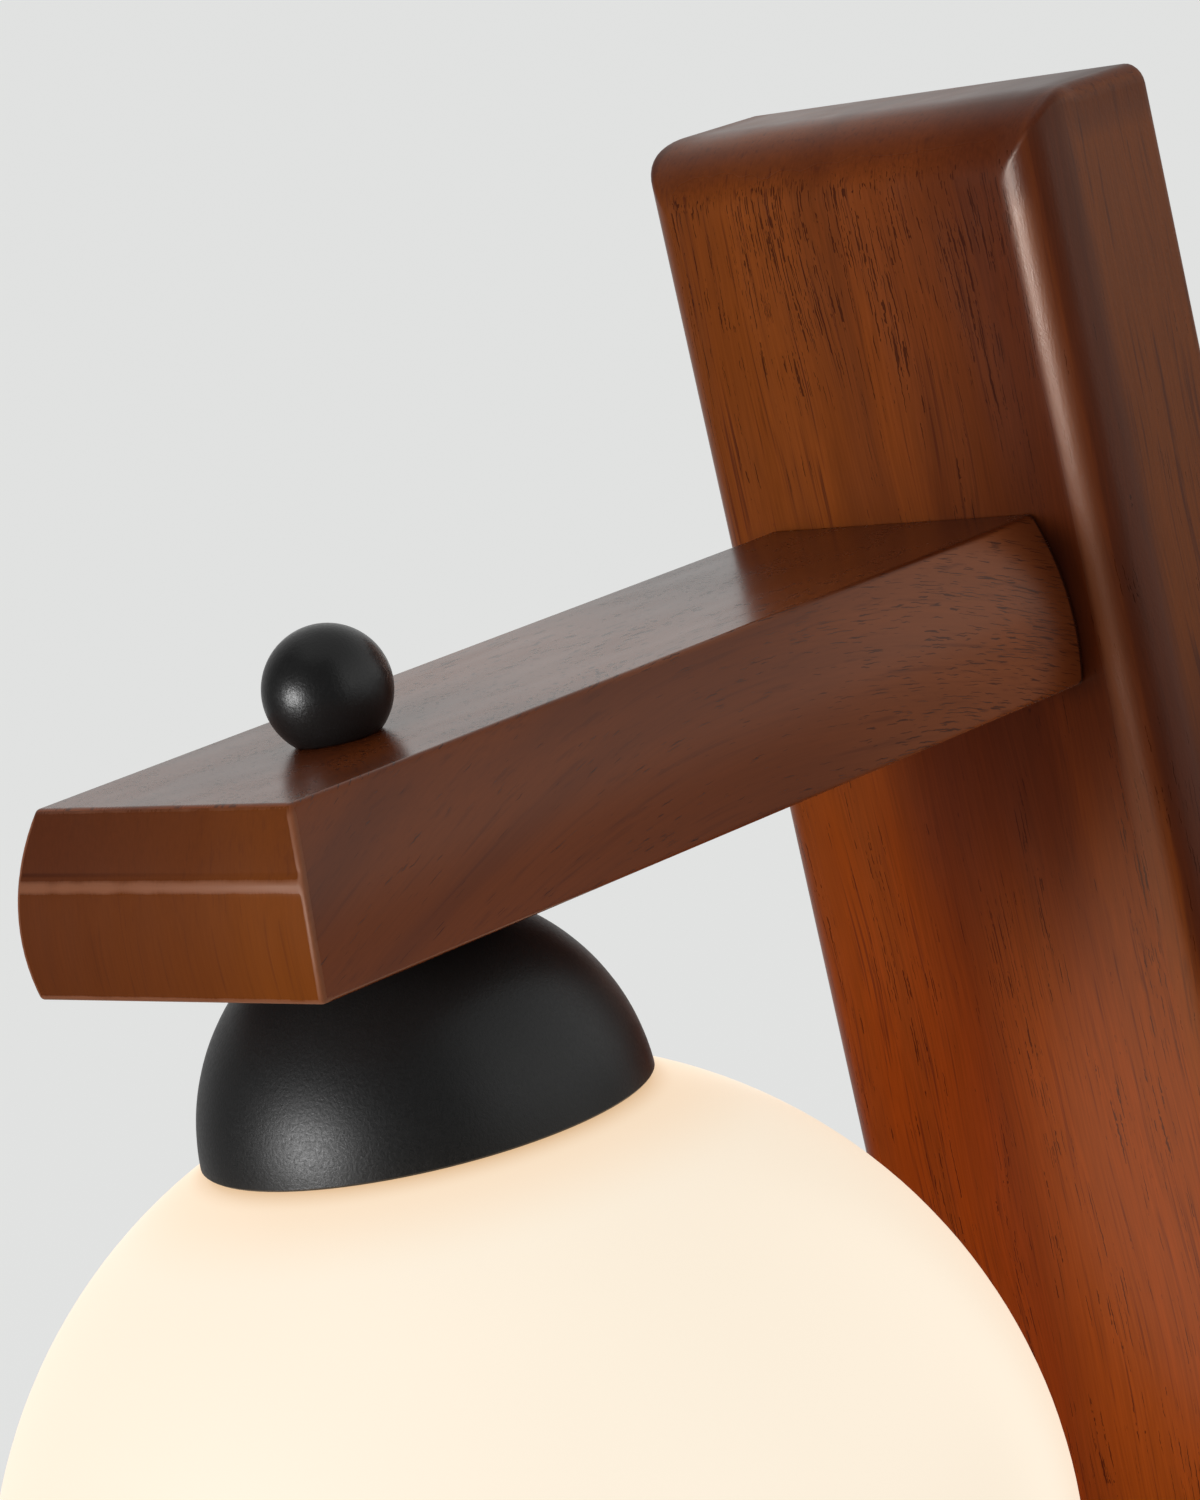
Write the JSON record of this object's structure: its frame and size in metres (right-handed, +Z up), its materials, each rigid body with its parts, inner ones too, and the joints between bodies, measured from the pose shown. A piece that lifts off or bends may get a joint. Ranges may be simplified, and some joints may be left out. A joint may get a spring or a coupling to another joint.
{
  "type": "wall lamp",
  "caption": "Wall lamp with a rounded wooden back board, a bow-sided wooden arm, a black ball finial, a black half-round cap and a lit opal glass globe that unscrews.",
  "frame": {"origin": "middle of the wall bracket's two screw holes, on the wall plane", "axes": "+Z up along the board, +Y into the wall, +X to the right seen from the room"},
  "size_m": [0.15, 0.2144, 0.3],
  "materials": {
    "board_wood": "stained reddish brown, satin lacquer",
    "arm_wood": "stained reddish brown, satin lacquer",
    "black_coat": "matte black powder coat",
    "opal_glass": "smooth opal white glass, lit from inside",
    "zinc_steel": "zinc plated",
    "brass": "plain",
    "white_nylon": "moulded",
    "cast_aluminium": "turned",
    "white_silicone": "soft",
    "holder_ceramic": "unglazed",
    "light_chips": "white board with yellow chips",
    "bulb_diffuser": "frosted",
    "brown_insulation": "wire insulation",
    "blue_insulation": "wire insulation",
    "green_insulation": "wire insulation"
  },
  "bodies": {
    "fixture": {"back_board": "board_wood", "arm": "arm_wood", "cap": "black_coat", "side_screws": "black_coat", "wall_bracket": "zinc_steel", "block_screws": "zinc_steel", "arm_bolts": "zinc_steel", "arm_washers": "zinc_steel", "threaded_tube": "zinc_steel", "lock_washer": "zinc_steel", "cap_nut": "zinc_steel", "carrier_nut": "zinc_steel", "holder_screws": "zinc_steel", "terminal_sleeves": "brass", "terminal_screws": "brass", "earth_tag": "brass", "earth_screw": "brass", "arm_inserts": "brass", "holder_contacts": "brass", "terminal_block": "white_nylon", "shade_carrier": "cast_aluminium", "neck_gasket": "white_silicone", "lampholder": "holder_ceramic", "live_wire": "brown_insulation", "neutral_wire": "blue_insulation", "earth_wire": "green_insulation"},
    "finial": {"ball_finial": "black_coat"},
    "globe": {"globe": "opal_glass", "globe_neck": "opal_glass", "neck_ring": "cast_aluminium"},
    "bulb": {"bulb_base": "holder_ceramic", "bulb_pins": "zinc_steel", "bulb_core": "light_chips", "bulb_cover": "bulb_diffuser"}
  },
  "joints": [
    {"name": "finial_unscrew", "type": "hinge", "parent": "fixture", "child": "finial", "pos_m": [0, -0.1394, 0.091], "axis": [0, 0, 1], "range_deg": [0, 2880]},
    {"name": "globe_unscrew", "type": "hinge", "parent": "fixture", "child": "globe", "pos_m": [0, -0.1394, 0.05], "axis": [0, 0, -1], "range_deg": [0, 990]},
    {"name": "bulb_pull", "type": "slide", "parent": "fixture", "child": "bulb", "axis": [0, 0, -1], "range_m": [0, 0.01]}
  ]
}
